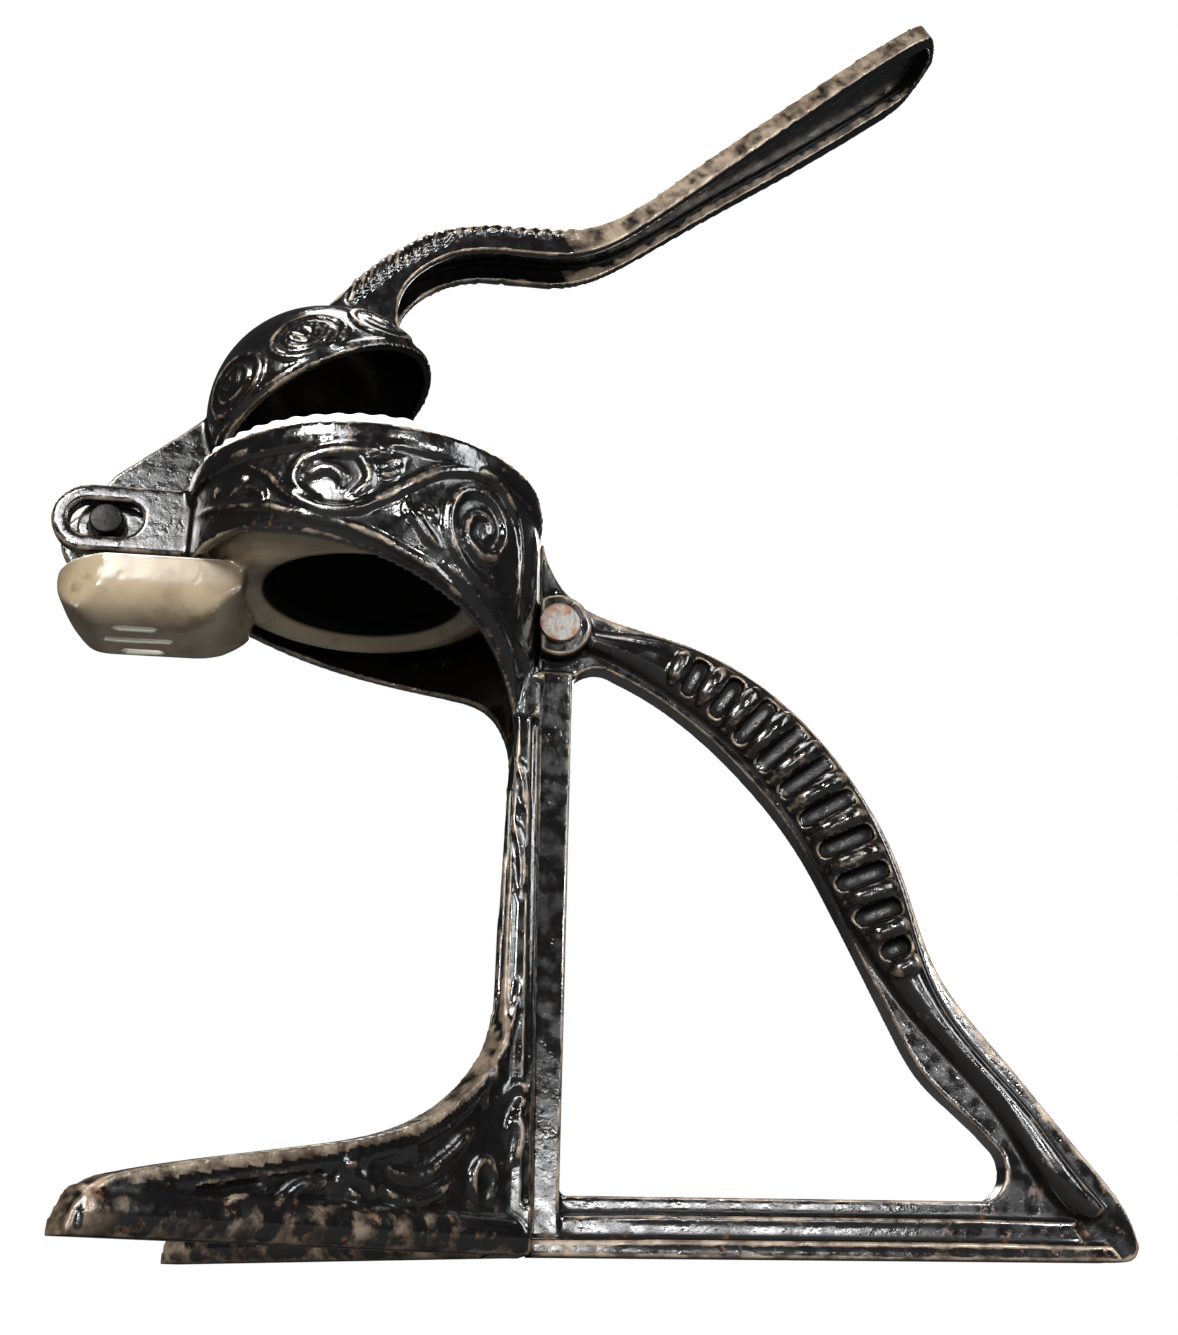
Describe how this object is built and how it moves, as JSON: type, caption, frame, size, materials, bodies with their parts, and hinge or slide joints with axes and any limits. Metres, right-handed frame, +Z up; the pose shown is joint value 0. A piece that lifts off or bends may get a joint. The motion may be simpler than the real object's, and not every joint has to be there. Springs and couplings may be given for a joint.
{
  "type": "lever citrus juice press",
  "caption": "Black cast iron lever citrus press: bowl ring on a column with splayed front legs, open rear brace, ceramic juice cup with a spout, and a hinged dome lever.",
  "frame": {"origin": "on the standing surface, under the column, on the middle plane of the press", "axes": "+Z up, +X towards the back, where the handle points, Y = 0 is the middle plane"},
  "size_m": [0.2879, 0.1924, 0.3928],
  "materials": {
    "black_iron": "gloss black japan, worn brown at the edges",
    "worn_steel": "bare, dull, slightly rusty",
    "glazed_ware": "cream glaze, stained"
  },
  "bodies": {
    "frame": {"bowl_stand": "black_iron", "rear_brace": "black_iron", "brace_rivet": "worn_steel", "juice_cup": "glazed_ware"},
    "pin": {"hinge_pin": "worn_steel"},
    "lever": {"press_lever": "black_iron"}
  },
  "joints": [
    {"name": "pin_slide", "type": "slide", "parent": "frame", "child": "pin", "axis": [1, 0, 0], "range_m": [-0.0049, 0.0049]},
    {"name": "lever_hinge", "type": "hinge", "parent": "pin", "child": "lever", "pos_m": [-0.121, 0, 0.186], "axis": [0, -1, 0], "range_deg": [-31, 145]}
  ]
}
